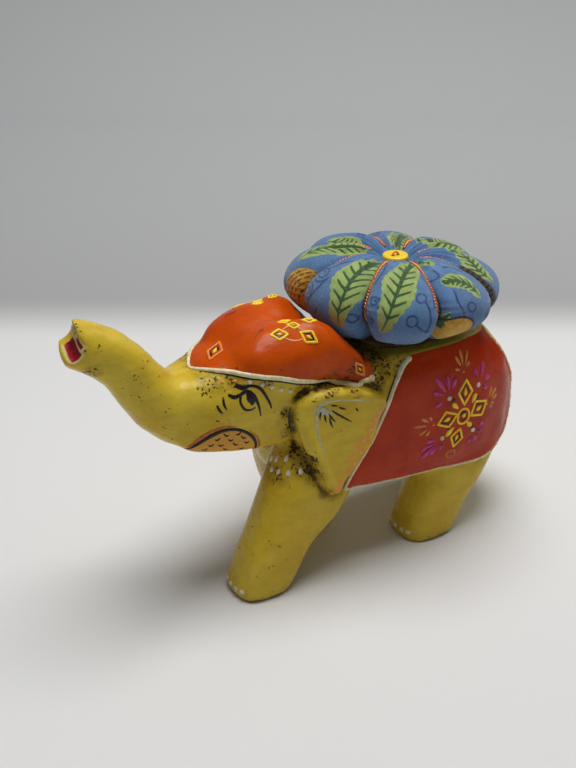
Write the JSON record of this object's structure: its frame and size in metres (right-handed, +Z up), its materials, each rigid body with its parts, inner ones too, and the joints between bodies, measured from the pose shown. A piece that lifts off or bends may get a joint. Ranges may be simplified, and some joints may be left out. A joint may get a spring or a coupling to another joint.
{
  "type": "pin cushion",
  "caption": "Carved and painted elephant with a raised trunk that carries a round gathered pin cushion on its flat back.",
  "frame": {"origin": "on the ground, at the middle of the whole object's box", "axes": "+X from the trunk towards the tail, +Y towards the elephant's right side, +Z up"},
  "size_m": [0.184, 0.079, 0.117],
  "materials": {
    "painted_wood": "painted and lacquered, darkened in the hollows",
    "cream_paste": "raised paste line, satin",
    "white_paste": "thick white paint, satin",
    "flower_paint": "thick brushed paint, satin",
    "printed_cotton": "plain woven printed cotton",
    "wadding": "soft wadding",
    "metallic_cord": "twisted metallised cord",
    "yellow_button": "gloss",
    "red_thread": "twisted thread",
    "dark_button": "matte",
    "bare_wood": "turned, unfinished"
  },
  "bodies": {
    "elephant": {"carved_elephant": "painted_wood", "cap_outline": "cream_paste", "blanket_outline_left": "cream_paste", "blanket_outline_right": "cream_paste", "forehead_dots": "white_paste", "rosette_left": "flower_paint", "rosette_right": "flower_paint", "toenails": "white_paste"},
    "cushion": {"cushion_cover": "printed_cotton", "cushion_filling": "wadding", "segment_cord_1": "metallic_cord", "segment_cord_2": "metallic_cord", "segment_cord_3": "metallic_cord", "segment_cord_4": "metallic_cord", "segment_cord_5": "metallic_cord", "segment_cord_6": "metallic_cord", "segment_cord_7": "metallic_cord", "segment_cord_8": "metallic_cord", "top_button": "yellow_button", "button_thread": "red_thread", "anchor_button": "dark_button", "seat_block": "bare_wood"}
  },
  "joints": [
    {"name": "cushion_lift", "type": "slide", "parent": "elephant", "child": "cushion", "axis": [0, 0, 1], "range_m": [0, 0.045]}
  ]
}
